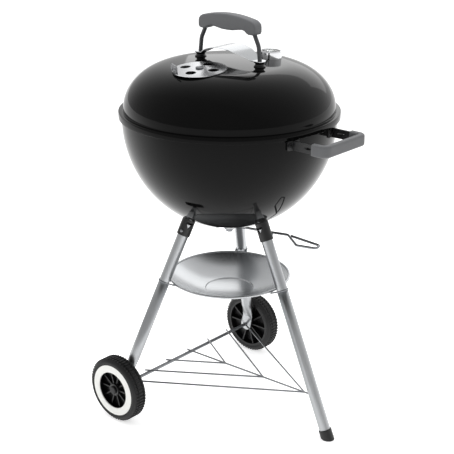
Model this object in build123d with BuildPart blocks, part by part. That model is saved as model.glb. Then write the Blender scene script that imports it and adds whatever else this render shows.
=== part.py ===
from build123d import *
import os
from math import acos, asin, atan, cos, degrees, hypot, radians, sin, sqrt, tan

# A kettle charcoal grill on three tube legs, two of them with wheels.
# Millimetres, +Z up, origin on the ground under the middle of the outline. +X points to the plain
# front leg and the bowl handle. The wheel axle lies along Y on the -X side. "Left" is the -Y side.

# ---- Lid and bowl sizes ---------------------------------------------------------------------
RIM_R = 240.0              # outside of the lid's skirt
SHEET = 1.6                # enamelled steel wall of lid and bowl
BOWL_R = 233.5             # outside radius of the bowl at its widest
BOWL_DEPTH = 246.0         # from the widest plane down to the bottom
BOWL_WIDE_Z = 687.0        # height of the widest plane
BOWL_LIP_Z = 702.0         # top of the bowl's turned lip
BOWL_LIP_DROP = 5.0        # how far the lip is turned down
LIP_CLEARANCE = 0.8        # between the bowl's lip and the lid's skirt
SEAT_CLEARANCE = 0.4       # between stacked pieces that lift apart
SKIRT_Z = 690.0            # lower edge of the lid's skirt
LID_R = 229.5              # outside radius of the lid above its skirt
LID_BASE_Z = 707.0         # where the lid's side is upright
KNUCKLE_A = 119.5          # half axis of the lid's rounded shoulder, outwards
KNUCKLE_B = 97.5           # half axis of the lid's rounded shoulder, upwards
CROWN_ANGLE = 86.0         # where the shoulder turns into the crown, on the shoulder's ellipse
CROWN_RISE = 3.2           # how much the crown is domed

# ---- Bowl handle ----------------------------------------------------------------------------
GRIP_REACH = 313.0         # from the kettle's axis to the outside of the bowl handle
BOWL_GRIP_Z = 677.5        # middle height of the bowl handle
BOWL_GRIP_H = 25.0
BOWL_GRIP_T = 15.0
BOWL_GRIP_BEND = 12.0
BOWL_GRIP_END = 30.0       # how far the grip's ends turn back towards the bowl
BRACKET_Y = 65.0           # bracket's distance from the middle
BRACKET_T = 4.0
BRACKET_H = 20.0
BRACKET_TUCK = 14.0        # bracket inside the grip
PAD_W = 30.0
PAD_T = 3.0
SCREW_R = 2.5
SCREW_HEAD_R = 4.2
SCREW_PITCH = 18.0

# ---- Stand ----------------------------------------------------------------------------------
LEG_TILT = 23.0            # degrees from upright
LEG_FOOT_R = 289.0         # leg axis at ground level, from the kettle's axis
TUBE_R = 12.5
TUBE_WALL = 1.5
FIT = 0.05                 # radial clearance of a push fit or a running fit
JOINT_Z = 319.0            # where upper and lower tube meet
JOINT_OVERLAP = 40.0
LEG_TOP_Z = 450.0
SOCKET_R = 15.0
SOCKET_Z = 425.0           # lower end of a socket
WINDOW_W = 20.0            # three-cornered opening in a socket
WINDOW_H = 15.0
WINDOW_DOWN = 7.0          # below the point where the leg's axis meets the bowl
BUTTON_R = 3.5
BUTTON_PROUD = 2.0
BUTTON_Z = 434.0
BUTTON_TURN = 43.0         # degrees round the leg from its outer side
CAP_WALL = 2.0
CAP_TOP_Z = 20.0
CAP_FLOOR = 4.0
WHEEL_R = 75.0
WHEEL_W = 38.0
TYRE_T = 15.0
WALL_RING_IN = 43.0        # inside radius of the white ring
WALL_RING_T = 3.0
HUB_BOSS_R = 14.0
RIB_COUNT = 10
RIB_T = 3.0
WEB_T = 4.0
RIM_T = 4.0
AXLE_R = 4.0
PADDLE_Y = 214.0           # middle of a wheel leg's flattened end
PADDLE_T = 4.0
PADDLE_R = 15.0
FLATTEN_Z = 140.0          # the tube starts to flatten here
FLAT_Z = 98.0              # and is flat from here down
WHEEL_GAP = 2.0            # from the flattened end to the wheel
AXLE_CAP_R = 9.0
AXLE_CAP_T = 4.5

# ---- Ash pan, its loops and the bottom rack ------------------------------------------------
PAN_R = 138.5
PAN_RIM_Z = 319.0
PAN_FLAT_R = 55.0
PAN_FLAT_Z = 284.0
PAN_WALL = 1.2
PAN_BEAD_R = 2.6
LOOP_WIRE_R = 1.8
LOOP_REACH = 24.0
RACK_WIRE_R = 1.9
RACK_Z = 92.0
RACK_STUB = 7.0            # how far the rack's wires pass the axle
RACK_APEX = (222.0, 103.0, -12.0)  # where each pair of wires meets, from the kettle's axis
RACK_SPREAD = (205.0, 140.0, 70.0) # half width of each pair at the axle

# ---- Ash sweep ------------------------------------------------------------------------------
SHAFT_R = 5.0
BUSH_R = 8.0
BUSH_FLANGE_R = 14.0
BUSH_FLANGE_T = 3.5
LEVER_Z = 430.0
LEVER_WIRE_R = 2.8
LEVER_HUB_R = 12.0
LEVER_HUB_T = 6.0
SWEEP_REACH = 128.0
SWEEP_ANGLE = 26.0         # width of one blade in degrees
SWEEP_LIFT = 1.2
SWEEP_T = 1.5
SWEEP_HUB_R = 16.0
SWEEP_REST = 20.0          # direction of the first blade at rest
VENT_FROM = 52.0
VENT_TO = 108.0
VENT_W = 24.0

# ---- Grates ---------------------------------------------------------------------------------
GRATE_R = 222.0
GRATE_Z = 640.0            # underside of the cooking grate's rods
GRATE_WIRE_R = 2.5
GRATE_RING_R = 3.2
GRATE_PITCH = 17.0
GRATE_HANDLE_H = 26.0
GRATE_HANDLE_W = 80.0
COAL_R = 164.0
COAL_Z = 522.0
COAL_WIRE_R = 3.0
COAL_PITCH = 26.0
TAB_W = 22.0
TAB_T = 2.0
TAB_LAP = 12.0             # how far a tab reaches under its grate

# ---- Lid handle -----------------------------------------------------------------------------
HANDLE_FOOT = 83.0         # rod's foot, from the kettle's axis
ROD_R = 4.5
ROD_KNEE_X = 80.0
ROD_KNEE_Z = 848.0
ROD_TOP_X = 62.0
ROD_TOP_Z = 884.0
ROD_BEND = 14.0
ROD_BELOW = 12.0           # rod below the lid's sheet
GRIP_HALF = 79.0
GRIP_TOP_Z = 908.0
GRIP_SHOULDER_Z = 893.0
GRIP_END_Z = 871.0
GRIP_BELLY_Z = 874.5
GRIP_HOLLOW_Z = 879.0
GRIP_DEPTH = 25.0
GRIP_ROUND = 4.0
SHIELD_T = 1.2
SHIELD_PAD_Z = 817.5       # underside of the shield's flat ends
SHIELD_CREST_Z = 839.0
SHIELD_KNEE_X = 71.0
SHIELD_END_X = 96.0
SHIELD_W = 68.0
SHIELD_END_W = 26.0
SPACER_R = 12.5
SPACER_WAIST = 9.5
NUT_FLATS = 14.0
NUT_H = 6.0
HOOK_R = 196.0             # lid hook, from the kettle's axis
HOOK_WIRE_R = 2.0

# ---- Lid damper and thermometer ------------------------------------------------------------
DAMPER_AT = 101.0
DAMPER_TURN = -87.0        # direction of the damper in degrees
DAMPER_R = 57.0
DAMPER_T = 1.2
DAMPER_DISH = 1.8
DAMPER_TILT = 4.5
DAMPER_GAP = 1.2
DAMPER_HOLE_R = 11.0
DAMPER_HOLE_AT = 34.0
DAMPER_HOLES_FROM = 8.0
PIVOT_R = 4.0
PIVOT_HEAD_R = 8.0
TAB_TURN = -117.0          # direction of the thumb tab from the damper's middle
THUMB_W = 32.0
THUMB_H = 16.0
THUMB_T = 3.0
TAB_RIVET_R = 1.8
TAB_RIVET_HEAD_R = 3.2
TAB_RIVET_PITCH = 16.0
GAUGE_AT = 95.0
GAUGE_TURN = 63.0
GAUGE_R = 24.5
GAUGE_H = 17.0
GAUGE_RIM = 3.5
GAUGE_RECESS = 6.0
DIAL_T = 1.0
LENS_T = 1.5
STEM_R = 3.0
STEM_BELOW = 50.0

# ---- Worked out from the sizes above -------------------------------------------------------
AXIS_X = (RIM_R - GRIP_REACH) / 2
AXLE_Z = WHEEL_R
LIP_R = RIM_R - SHEET - LIP_CLEARANCE
FLANGE_Z = BOWL_LIP_Z + SEAT_CLEARANCE
BOWL_BOTTOM_Z = BOWL_WIDE_Z - BOWL_DEPTH
CROWN_R = LID_R - KNUCKLE_A + KNUCKLE_A * cos(radians(CROWN_ANGLE))
CROWN_EDGE_Z = LID_BASE_Z + KNUCKLE_B * sin(radians(CROWN_ANGLE))
CROWN_Z = CROWN_EDGE_Z + CROWN_RISE
LEGS = {"front": 0.0, "left": 240.0, "right": 120.0}
SPIN = Axis((AXIS_X, 0, 0), (0, 0, 1))
PAD_TURN = degrees(asin(BRACKET_Y / BOWL_R))
SEAM_TURN = 150.0          # where lid and bowl are closed round, clear of anything cut into them
SCREW_SPOTS = ((-SCREW_PITCH / 2, 0), (SCREW_PITCH / 2, 0))
os.makedirs("parts", exist_ok=True)


def save(builder, name):
    """Label a finished piece and write it under its own name."""
    builder.part.label = name
    export_step(builder.part, f"parts/{name}.step")


def spot(radius, azimuth, z):
    """Point at a radius and direction from the kettle's axis."""
    turn = radians(azimuth)
    return Vector(AXIS_X + radius * cos(turn), radius * sin(turn), z)


def upright(azimuth):
    """Upright plane through the kettle's axis: local x outwards, local y up."""
    turn = radians(azimuth)
    return Plane((AXIS_X, 0, 0), x_dir=(cos(turn), sin(turn), 0), z_dir=(sin(turn), -cos(turn), 0))


def tilted(point, azimuth, tilt):
    """Plane at a point whose normal leans outwards by a tilt: local x outwards."""
    turn, lean = radians(azimuth), radians(tilt)
    out = (cos(lean) * cos(turn), cos(lean) * sin(turn), -sin(lean))
    normal = (sin(lean) * cos(turn), sin(lean) * sin(turn), cos(lean))
    return Plane(point, x_dir=out, z_dir=normal)


def bowl_radius(z, inset=0.0):
    """Radius of the bowl's outside at a height, or of a skin inset from it."""
    return (BOWL_R - inset) * sqrt(1 - ((BOWL_WIDE_Z - z) / (BOWL_DEPTH - inset)) ** 2)


def bowl_height(radius, inset=0.0):
    """Height of the bowl's outside at a radius, or of a skin inset from it."""
    return BOWL_WIDE_Z - (BOWL_DEPTH - inset) * sqrt(1 - (radius / (BOWL_R - inset)) ** 2)


def lid_height(radius):
    """Height of the lid's outside at a radius."""
    if radius < CROWN_R:
        return CROWN_Z - CROWN_RISE * (radius / CROWN_R) ** 2
    return LID_BASE_Z + KNUCKLE_B * sqrt(1 - ((radius - LID_R + KNUCKLE_A) / KNUCKLE_A) ** 2)


def leg_radius(z):
    """Distance of a leg's axis from the kettle's axis at a height."""
    return LEG_FOOT_R - z * tan(radians(LEG_TILT))


def leg_plane(azimuth, z):
    """Plane across a leg at a height: local z up the leg, local x outwards."""
    return tilted(spot(leg_radius(z), azimuth, z), azimuth, -LEG_TILT)


def along_leg(z_from, z_to):
    """Length along a leg between two heights."""
    return (z_to - z_from) / cos(radians(LEG_TILT))


def wall_plane(radius, azimuth, z):
    """Upright plane facing away from the kettle's axis: local x along the wall, local y up."""
    turn = radians(azimuth)
    return Plane(spot(radius, azimuth, z), x_dir=(-sin(turn), cos(turn), 0), z_dir=(cos(turn), sin(turn), 0))


def quarter_curve(centre, half_x, half_y, angle_from, angle_to):
    """Smooth curve along part of an ellipse, from one angle on it to another."""
    angles = [radians(angle_from + (angle_to - angle_from) * step / 8) for step in range(9)]
    points = [(centre[0] + half_x * cos(turn), centre[1] + half_y * sin(turn)) for turn in angles]
    ends = [(-half_x * sin(turn), half_y * cos(turn)) for turn in (angles[0], angles[-1])]
    return Spline(*points, tangents=ends)


def straight_wire(start, end, radius):
    """Add a round wire between two points to the open part."""
    with BuildSketch(Plane(start, z_dir=end - start)) as disc:
        Circle(radius)
    extrude(disc.sketch, amount=(end - start).length)


def lid_line(inset):
    """Lid's outside from its upright side to the top of its crown, or a skin inset from it."""
    centre = (LID_R - KNUCKLE_A, LID_BASE_Z)
    edge = quarter_curve(centre, KNUCKLE_A - inset, KNUCKLE_B - inset, 0, CROWN_ANGLE) @ 1
    top = edge.Y + CROWN_RISE
    slope = 2 * CROWN_RISE / edge.X
    middle = (edge.X / 2, top - CROWN_RISE / 4)
    return Spline(edge, middle, (0, top), tangents=[(-1, slope), (-1, 0)]) @ 1


def bowl_arc(inset):
    """Bowl's outside from the shaft's hole to its widest plane, or a skin inset from it."""
    start = -degrees(acos((BUSH_R + FIT) / (BOWL_R - inset)))
    return quarter_curve((0, BOWL_WIDE_Z), BOWL_R - inset, BOWL_DEPTH - inset, start, 0)


# ---- Solid bodies that other pieces are cut to: outside and inside of the bowl, the lid -----
with BuildPart() as bowl_core:
    with BuildSketch(upright(SEAM_TURN)):
        with BuildLine():
            low = bowl_arc(0) @ 0
            Polyline((BOWL_R, BOWL_WIDE_Z), (BOWL_R, BOWL_LIP_Z), (0, BOWL_LIP_Z), (0, low.Y), low)
        make_face()
    revolve(axis=SPIN)

with BuildPart() as bowl_room:
    with BuildSketch(upright(SEAM_TURN)):
        inner = BOWL_R - SHEET
        with BuildLine():
            low = bowl_arc(SHEET) @ 0
            Polyline((inner, BOWL_WIDE_Z), (inner, BOWL_LIP_Z), (0, BOWL_LIP_Z), (0, low.Y), low)
        make_face()
    revolve(axis=SPIN)

with BuildPart() as lid_core:
    with BuildSketch(upright(SEAM_TURN)):
        with BuildLine():
            lid_line(0)
            Polyline((0, CROWN_Z), (0, FLANGE_Z), (LID_R, FLANGE_Z), (LID_R, LID_BASE_Z))
        make_face()
    revolve(axis=SPIN)

# ---- Bowl -----------------------------------------------------------------------------------
with BuildPart() as bowl_shell:
    with BuildSketch(upright(SEAM_TURN)):
        with BuildLine():
            outer_line = bowl_arc(0)
            Polyline(
                (BOWL_R, BOWL_WIDE_Z),
                (BOWL_R, BOWL_LIP_Z - SHEET),
                (LIP_R - SHEET, BOWL_LIP_Z - SHEET),
                (LIP_R - SHEET, BOWL_LIP_Z - BOWL_LIP_DROP),
                (LIP_R, BOWL_LIP_Z - BOWL_LIP_DROP),
                (LIP_R, BOWL_LIP_Z),
                (BOWL_R - SHEET, BOWL_LIP_Z),
                (BOWL_R - SHEET, BOWL_WIDE_Z),
            )
            inner_line = bowl_arc(SHEET)
            Line(inner_line @ 0, outer_line @ 0)
        make_face()
    revolve(axis=SPIN)
    with BuildSketch(Plane((AXIS_X, 0, BOWL_BOTTOM_Z - SHEET))):
        with PolarLocations((VENT_FROM + VENT_TO) / 2, 3, start_angle=60):
            SlotOverall(VENT_TO - VENT_FROM, VENT_W)
    extrude(amount=BOWL_DEPTH / 3, mode=Mode.SUBTRACT)
    for side in (-1, 1):
        with BuildSketch(wall_plane(BOWL_R / 2, side * PAD_TURN, BOWL_GRIP_Z)):
            with Locations(*SCREW_SPOTS):
                Circle(SCREW_R)
        extrude(amount=BOWL_R, mode=Mode.SUBTRACT)
save(bowl_shell, "bowl_shell")


def grate_tabs(name, count, first, under_z, grate_r):
    """Tabs welded inside the bowl that carry a grate."""
    with BuildPart() as tabs:
        for step in range(count):
            turn = first + step * 360 / count
            with BuildSketch(tilted(spot(0, turn, under_z - SEAT_CLEARANCE - TAB_T), turn, 0)):
                with Locations(((grate_r - TAB_LAP + BOWL_R) / 2, 0)):
                    Rectangle(BOWL_R - grate_r + TAB_LAP, TAB_W)
            extrude(amount=TAB_T)
        add(bowl_room.part, mode=Mode.INTERSECT)
    save(tabs, name)


grate_tabs("cooking_grate_tabs", 4, 30, GRATE_Z, GRATE_R)
grate_tabs("charcoal_grate_tabs", 3, 0, COAL_Z, COAL_R)

# ---- Bowl handle: two brackets screwed to the bowl and a bent grip ---------------------------
for side, word in ((-1, "left"), (1, "right")):
    with BuildPart() as bracket:
        with BuildSketch(wall_plane(BOWL_R - PAD_T, side * PAD_TURN, BOWL_GRIP_Z)):
            RectangleRounded(PAD_W, BRACKET_H, 3)
        extrude(amount=2 * PAD_T)
        arm_from = bowl_radius(BOWL_GRIP_Z - BRACKET_H / 2) * cos(radians(PAD_TURN)) - PAD_T
        arm_to = GRIP_REACH - BOWL_GRIP_T / 2 - BOWL_GRIP_END + BRACKET_TUCK
        with BuildSketch(Plane((AXIS_X + (arm_from + arm_to) / 2, side * BRACKET_Y, BOWL_GRIP_Z))):
            Rectangle(arm_to - arm_from, BRACKET_T)
        extrude(amount=BRACKET_H / 2, both=True)
        add(bowl_core.part, mode=Mode.SUBTRACT)
        with BuildSketch(wall_plane(BOWL_R / 2, side * PAD_TURN, BOWL_GRIP_Z)):
            with Locations(*SCREW_SPOTS):
                Circle(SCREW_R)
        extrude(amount=BOWL_R, mode=Mode.SUBTRACT)
    save(bracket, f"bowl_handle_bracket_{word}")

with BuildPart() as bowl_handle_screws:
    for side in (-1, 1):
        for offset in SCREW_SPOTS:
            with BuildSketch(wall_plane(BOWL_R + PAD_T, side * PAD_TURN, BOWL_GRIP_Z)):
                with Locations(offset):
                    Circle(SCREW_HEAD_R)
            extrude(amount=SCREW_HEAD_R / 2)
            with BuildSketch(wall_plane(BOWL_R + PAD_T, side * PAD_TURN, BOWL_GRIP_Z)):
                with Locations(offset):
                    Circle(SCREW_R)
            extrude(amount=-4 * PAD_T)
save(bowl_handle_screws, "bowl_handle_screws")

with BuildPart() as bowl_handle_grip:
    with BuildLine() as grip_path:
        bar_x = AXIS_X + GRIP_REACH - BOWL_GRIP_T / 2
        FilletPolyline(
            (bar_x - BOWL_GRIP_END, -BRACKET_Y, BOWL_GRIP_Z),
            (bar_x, -BRACKET_Y, BOWL_GRIP_Z),
            (bar_x, BRACKET_Y, BOWL_GRIP_Z),
            (bar_x - BOWL_GRIP_END, BRACKET_Y, BOWL_GRIP_Z),
            radius=BOWL_GRIP_BEND,
        )
    with BuildSketch(Plane(grip_path.line @ 0, x_dir=(0, 1, 0), z_dir=(1, 0, 0))):
        RectangleRounded(BOWL_GRIP_T, BOWL_GRIP_H, 5)
    sweep()
    for side in (-1, 1):
        with BuildSketch(Plane((bar_x - BOWL_GRIP_END + BRACKET_TUCK / 2, side * BRACKET_Y, BOWL_GRIP_Z))):
            Rectangle(BRACKET_TUCK, BRACKET_T)
        extrude(amount=BRACKET_H / 2, both=True, mode=Mode.SUBTRACT)
save(bowl_handle_grip, "bowl_handle_grip")

# ---- Legs: socket, upper tube, lower tube, snap button --------------------------------------
SOCKET_TOP_Z = bowl_height(leg_radius(BOWL_BOTTOM_Z + 20))
for word, turn in LEGS.items():
    with BuildPart() as socket:
        with BuildSketch(leg_plane(turn, SOCKET_Z)):
            Circle(SOCKET_R)
        extrude(amount=along_leg(SOCKET_Z, SOCKET_TOP_Z) + SOCKET_R)
        with BuildSketch(leg_plane(turn, SOCKET_Z)):
            Circle(TUBE_R + FIT)
        extrude(amount=along_leg(SOCKET_Z, SOCKET_TOP_Z) + 2 * SOCKET_R, mode=Mode.SUBTRACT)
        window = leg_plane(turn, SOCKET_TOP_Z)
        with BuildSketch(Plane(window.origin, x_dir=window.x_dir, z_dir=window.y_dir)):
            with BuildLine():
                FilletPolyline(
                    (-WINDOW_W / 2, WINDOW_DOWN),
                    (WINDOW_W / 2, WINDOW_DOWN),
                    (0, WINDOW_DOWN + WINDOW_H),
                    radius=2,
                    close=True,
                )
            make_face()
        extrude(amount=2 * SOCKET_R, both=True, mode=Mode.SUBTRACT)
        add(bowl_core.part, mode=Mode.SUBTRACT)
        seat = leg_plane(turn, BUTTON_Z)
        peg = seat.x_dir.rotate(Axis((0, 0, 0), seat.z_dir), BUTTON_TURN)
        with BuildSketch(Plane(seat.origin, z_dir=peg)):
            Circle(BUTTON_R + FIT)
        extrude(amount=2 * SOCKET_R, mode=Mode.SUBTRACT)
    save(socket, f"leg_socket_{word}")

    with BuildPart() as upper:
        with BuildSketch(leg_plane(turn, JOINT_Z)):
            Circle(TUBE_R)
            Circle(TUBE_R - TUBE_WALL, mode=Mode.SUBTRACT)
        extrude(amount=along_leg(JOINT_Z, LEG_TOP_Z))
        with BuildSketch(leg_plane(turn, JOINT_Z)):
            Circle(TUBE_R + 1)
        extrude(amount=LOOP_WIRE_R, mode=Mode.SUBTRACT)
        with BuildSketch(Plane(seat.origin, z_dir=peg)):
            Circle(BUTTON_R + FIT)
        extrude(amount=2 * SOCKET_R, mode=Mode.SUBTRACT)
    save(upper, f"leg_upper_{word}")

    with BuildPart() as button:
        flange_at = TUBE_R - 3.5 * TUBE_WALL
        with BuildSketch(Plane(seat.origin + peg * flange_at, z_dir=peg)):
            Circle(BUTTON_R)
        extrude(amount=SOCKET_R + BUTTON_PROUD - flange_at)
        fillet(button.faces().sort_by(Axis(seat.origin, peg))[-1].edges(), BUTTON_PROUD * 0.8)
        with BuildSketch(Plane(seat.origin + peg * flange_at, z_dir=peg)):
            Circle(BUTTON_R + 1)
        extrude(amount=TUBE_WALL)
    save(button, f"snap_button_{word}")

    with BuildPart() as lower:
        bore_to = CAP_FLOOR + TUBE_R * sin(radians(LEG_TILT)) if word == "front" else FLATTEN_Z
        with BuildSketch(leg_plane(turn, JOINT_Z)):
            Circle(TUBE_R)
        extrude(amount=-along_leg(bore_to, JOINT_Z))
        with BuildSketch(leg_plane(turn, JOINT_Z)):
            Circle(TUBE_R + 1)
        extrude(amount=-LOOP_WIRE_R, mode=Mode.SUBTRACT)
        with BuildSketch(leg_plane(turn, JOINT_Z)):
            Circle(TUBE_R - TUBE_WALL - FIT)
        extrude(amount=JOINT_OVERLAP)
        with BuildSketch(leg_plane(turn, JOINT_Z)):
            Circle(TUBE_R - TUBE_WALL - FIT)
        extrude(amount=-2 * LOOP_WIRE_R)
        with BuildSketch(leg_plane(turn, JOINT_Z)):
            Circle(TUBE_R - 2 * TUBE_WALL - FIT)
        extrude(amount=JOINT_OVERLAP, mode=Mode.SUBTRACT)
        with BuildSketch(leg_plane(turn, JOINT_Z)):
            Circle(TUBE_R - 2 * TUBE_WALL - FIT)
        extrude(amount=-along_leg(bore_to, JOINT_Z), mode=Mode.SUBTRACT)
        if word == "front":
            with BuildSketch(Plane(spot(leg_radius(RACK_Z), turn, RACK_Z), z_dir=(-1, 0, 0))):
                Circle(RACK_WIRE_R + 4 * FIT)
            extrude(amount=2 * TUBE_R, mode=Mode.SUBTRACT)
        else:
            side = -1 if word == "left" else 1
            flat = spot(leg_radius(FLAT_Z), turn, FLAT_Z)
            with BuildSketch(leg_plane(turn, FLATTEN_Z)):
                Circle(TUBE_R)
            with BuildSketch(Plane((flat.X, side * PADDLE_Y, FLAT_Z))):
                SlotOverall(2 * PADDLE_R, PADDLE_T)
            loft()
            axle_at = spot(leg_radius(AXLE_Z), turn, AXLE_Z)
            neck = flat.X - axle_at.X
            paddle_mid = (axle_at.X, side * PADDLE_Y, AXLE_Z)
            with BuildSketch(Plane(paddle_mid, x_dir=(1, 0, 0), z_dir=(0, -1, 0))):
                with BuildLine():
                    CenterArc((0, 0), PADDLE_R, 0, 360)
                    Line((neck - PADDLE_R + 1, FLAT_Z - AXLE_Z), (neck + PADDLE_R - 1, FLAT_Z - AXLE_Z))
                make_hull()
            extrude(amount=PADDLE_T / 2, both=True)
            with BuildSketch(Plane((axle_at.X, 0, AXLE_Z), x_dir=(1, 0, 0), z_dir=(0, -1, 0))):
                Circle(AXLE_R)
            extrude(amount=WHEEL_R * 4, both=True, mode=Mode.SUBTRACT)
    save(lower, f"leg_lower_{word}")

with BuildPart() as front_foot_cap:
    with BuildSketch(leg_plane(0, CAP_TOP_Z)):
        Circle(TUBE_R + CAP_WALL)
    extrude(amount=-along_leg(0, CAP_TOP_Z) - TUBE_R)
    with BuildSketch(leg_plane(0, CAP_FLOOR + TUBE_R * sin(radians(LEG_TILT)))):
        Circle(TUBE_R)
    extrude(amount=WHEEL_R, mode=Mode.SUBTRACT)
    split(bisect_by=Plane.XY, keep=Keep.TOP)
save(front_foot_cap, "front_foot_cap")

# ---- Ash pan and the loops that hold it in the leg joints ------------------------------------
with BuildPart() as ash_pan:
    with BuildSketch(upright(0)):
        bead_z = PAN_RIM_Z - PAN_BEAD_R
        bead_x = PAN_R - PAN_BEAD_R
        with BuildLine():
            Line((0, PAN_FLAT_Z - PAN_WALL), (PAN_FLAT_R, PAN_FLAT_Z - PAN_WALL))
            ThreePointArc(
                (PAN_FLAT_R, PAN_FLAT_Z - PAN_WALL),
                ((PAN_FLAT_R + bead_x) / 2, (PAN_FLAT_Z * 0.64 + bead_z * 0.36) - PAN_WALL),
                (bead_x, bead_z - PAN_WALL / 2),
            )
            Line((bead_x, bead_z - PAN_WALL / 2), (bead_x, bead_z + PAN_WALL / 2))
            ThreePointArc(
                (bead_x, bead_z + PAN_WALL / 2),
                ((PAN_FLAT_R + bead_x) / 2, PAN_FLAT_Z * 0.64 + bead_z * 0.36),
                (PAN_FLAT_R, PAN_FLAT_Z),
            )
            Polyline((PAN_FLAT_R, PAN_FLAT_Z), (0, PAN_FLAT_Z), (0, PAN_FLAT_Z - PAN_WALL))
        make_face()
        with Locations((bead_x, bead_z)):
            Circle(PAN_BEAD_R)
    revolve(axis=SPIN)
save(ash_pan, "ash_pan")

for word, turn in LEGS.items():
    with BuildPart() as loop:
        ring_r = TUBE_R - TUBE_WALL + LOOP_WIRE_R
        seat = leg_plane(turn, JOINT_Z)
        with BuildLine(seat) as loop_line:
            Line((-LOOP_REACH, -ring_r), (0, -ring_r))
            ThreePointArc((0, -ring_r), (ring_r, 0), (0, ring_r))
            Line((0, ring_r), (-LOOP_REACH, ring_r))
        with BuildSketch(Plane(loop_line.line @ 0, z_dir=seat.x_dir)):
            Circle(LOOP_WIRE_R)
        sweep()
    save(loop, f"pan_loop_{word}")

# ---- Axle, its caps and washers --------------------------------------------------------------
AXLE_X = spot(leg_radius(AXLE_Z), LEGS["left"], AXLE_Z).X
WHEEL_IN = PADDLE_Y + PADDLE_T / 2 + WHEEL_GAP
WHEEL_OUT = WHEEL_IN + WHEEL_W
AXLE_END = WHEEL_OUT - AXLE_CAP_T / 2


def wheel_plane(side, reach):
    """Plane across the axle at a distance from the middle, facing away from the middle."""
    return Plane((AXLE_X, side * reach, AXLE_Z), x_dir=(1, 0, 0), z_dir=(0, side, 0))


with BuildPart() as axle:
    with BuildSketch(wheel_plane(-1, -AXLE_END)):
        Circle(AXLE_R)
    extrude(amount=2 * AXLE_END)
save(axle, "axle")

with BuildPart() as axle_washers:
    for side in (-1, 1):
        with BuildSketch(wheel_plane(side, WHEEL_IN - WHEEL_GAP)):
            Circle(2 * AXLE_R)
            Circle(AXLE_R, mode=Mode.SUBTRACT)
        extrude(amount=WHEEL_GAP - SEAT_CLEARANCE)
save(axle_washers, "axle_washers")

for side, word in ((-1, "left"), (1, "right")):
    with BuildPart() as cap:
        with BuildSketch(wheel_plane(side, WHEEL_OUT - AXLE_CAP_T)):
            Circle(AXLE_CAP_R)
        extrude(amount=AXLE_CAP_T)
        outer = cap.faces().sort_by(Axis.Y)[0 if side < 0 else -1]
        fillet(outer.edges(), AXLE_CAP_T / 2)
        with BuildSketch(wheel_plane(side, 0)):
            Circle(AXLE_R)
        extrude(amount=AXLE_END, mode=Mode.SUBTRACT)
    save(cap, f"axle_cap_{word}")

# ---- Wheels: ribbed hub, tyre, white ring ----------------------------------------------------
TYRE_IN = WHEEL_R - TYRE_T
BOSS_END = WHEEL_OUT - AXLE_CAP_T - SEAT_CLEARANCE
for side, word in ((-1, "left"), (1, "right")):
    with BuildPart() as hub:
        with BuildSketch(wheel_plane(side, WHEEL_IN + 1)):
            Circle(TYRE_IN)
            Circle(TYRE_IN - RIM_T, mode=Mode.SUBTRACT)
        extrude(amount=WHEEL_W - 1 - WALL_RING_T)
        with BuildSketch(wheel_plane(side, WHEEL_IN)):
            Circle(HUB_BOSS_R)
        extrude(amount=BOSS_END - WHEEL_IN)
        with BuildSketch(wheel_plane(side, WHEEL_IN + WHEEL_W / 2 - WEB_T / 2)):
            Circle(TYRE_IN - RIM_T / 2)
        extrude(amount=WEB_T)
        with BuildSketch(wheel_plane(side, WHEEL_OUT - 2 * WALL_RING_T)):
            Circle(TYRE_IN - RIM_T / 2)
            Circle(WALL_RING_IN, mode=Mode.SUBTRACT)
        extrude(amount=WALL_RING_T)
        with BuildSketch(wheel_plane(side, WHEEL_IN + 3)):
            with PolarLocations((HUB_BOSS_R + TYRE_IN - RIM_T) / 2, RIB_COUNT):
                Rectangle(TYRE_IN - RIM_T - HUB_BOSS_R + 2, RIB_T)
        extrude(amount=WHEEL_W - 3 - 3 * WALL_RING_T)
        with BuildSketch(wheel_plane(side, 0)):
            Circle(AXLE_R + FIT)
        extrude(amount=WHEEL_OUT, mode=Mode.SUBTRACT)
    save(hub, f"{word}_wheel_hub")

    with BuildPart() as tyre:
        with BuildSketch(wheel_plane(side, WHEEL_IN)):
            Circle(WHEEL_R)
        extrude(amount=WHEEL_W)
        fillet(tyre.edges().filter_by(GeomType.CIRCLE), TYRE_T / 3)
        with BuildSketch(wheel_plane(side, WHEEL_IN)):
            Circle(TYRE_IN)
        extrude(amount=WHEEL_W, mode=Mode.SUBTRACT)
    save(tyre, f"{word}_tyre")

    with BuildPart() as white_ring:
        with BuildSketch(wheel_plane(side, WHEEL_OUT - WALL_RING_T)):
            Circle(TYRE_IN)
            Circle(WALL_RING_IN, mode=Mode.SUBTRACT)
        extrude(amount=WALL_RING_T - 0.5)
    save(white_ring, f"{word}_whitewall_ring")

# ---- Bottom rack: welded wires hooked over the axle, plugged into the front leg --------------
HOOK_Z = AXLE_Z + AXLE_R + RACK_WIRE_R
with BuildPart() as bottom_rack:
    rack_end = spot(leg_radius(RACK_Z), 0, RACK_Z) - Vector(TUBE_R - 2 * TUBE_WALL, 0, 0)
    lines = [((AXLE_X - RACK_STUB, 0, HOOK_Z), (rack_end.X, 0, RACK_Z))]
    for apex, spread in zip(RACK_APEX, RACK_SPREAD):
        rise = (AXIS_X + apex - AXLE_X) / (rack_end.X - AXLE_X)
        tip = (AXIS_X + apex, 0, HOOK_Z + (RACK_Z - HOOK_Z) * rise)
        stub = 0 if spread == RACK_SPREAD[0] else RACK_STUB
        for side in (-1, 1):
            run = AXIS_X + apex - AXLE_X
            root = (AXLE_X - stub, side * (spread + stub * spread / run), HOOK_Z)
            lines.append((root, tip))
    for root, tip in lines:
        straight_wire(Vector(*root), Vector(*tip), RACK_WIRE_R)
save(bottom_rack, "bottom_rack")

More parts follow.
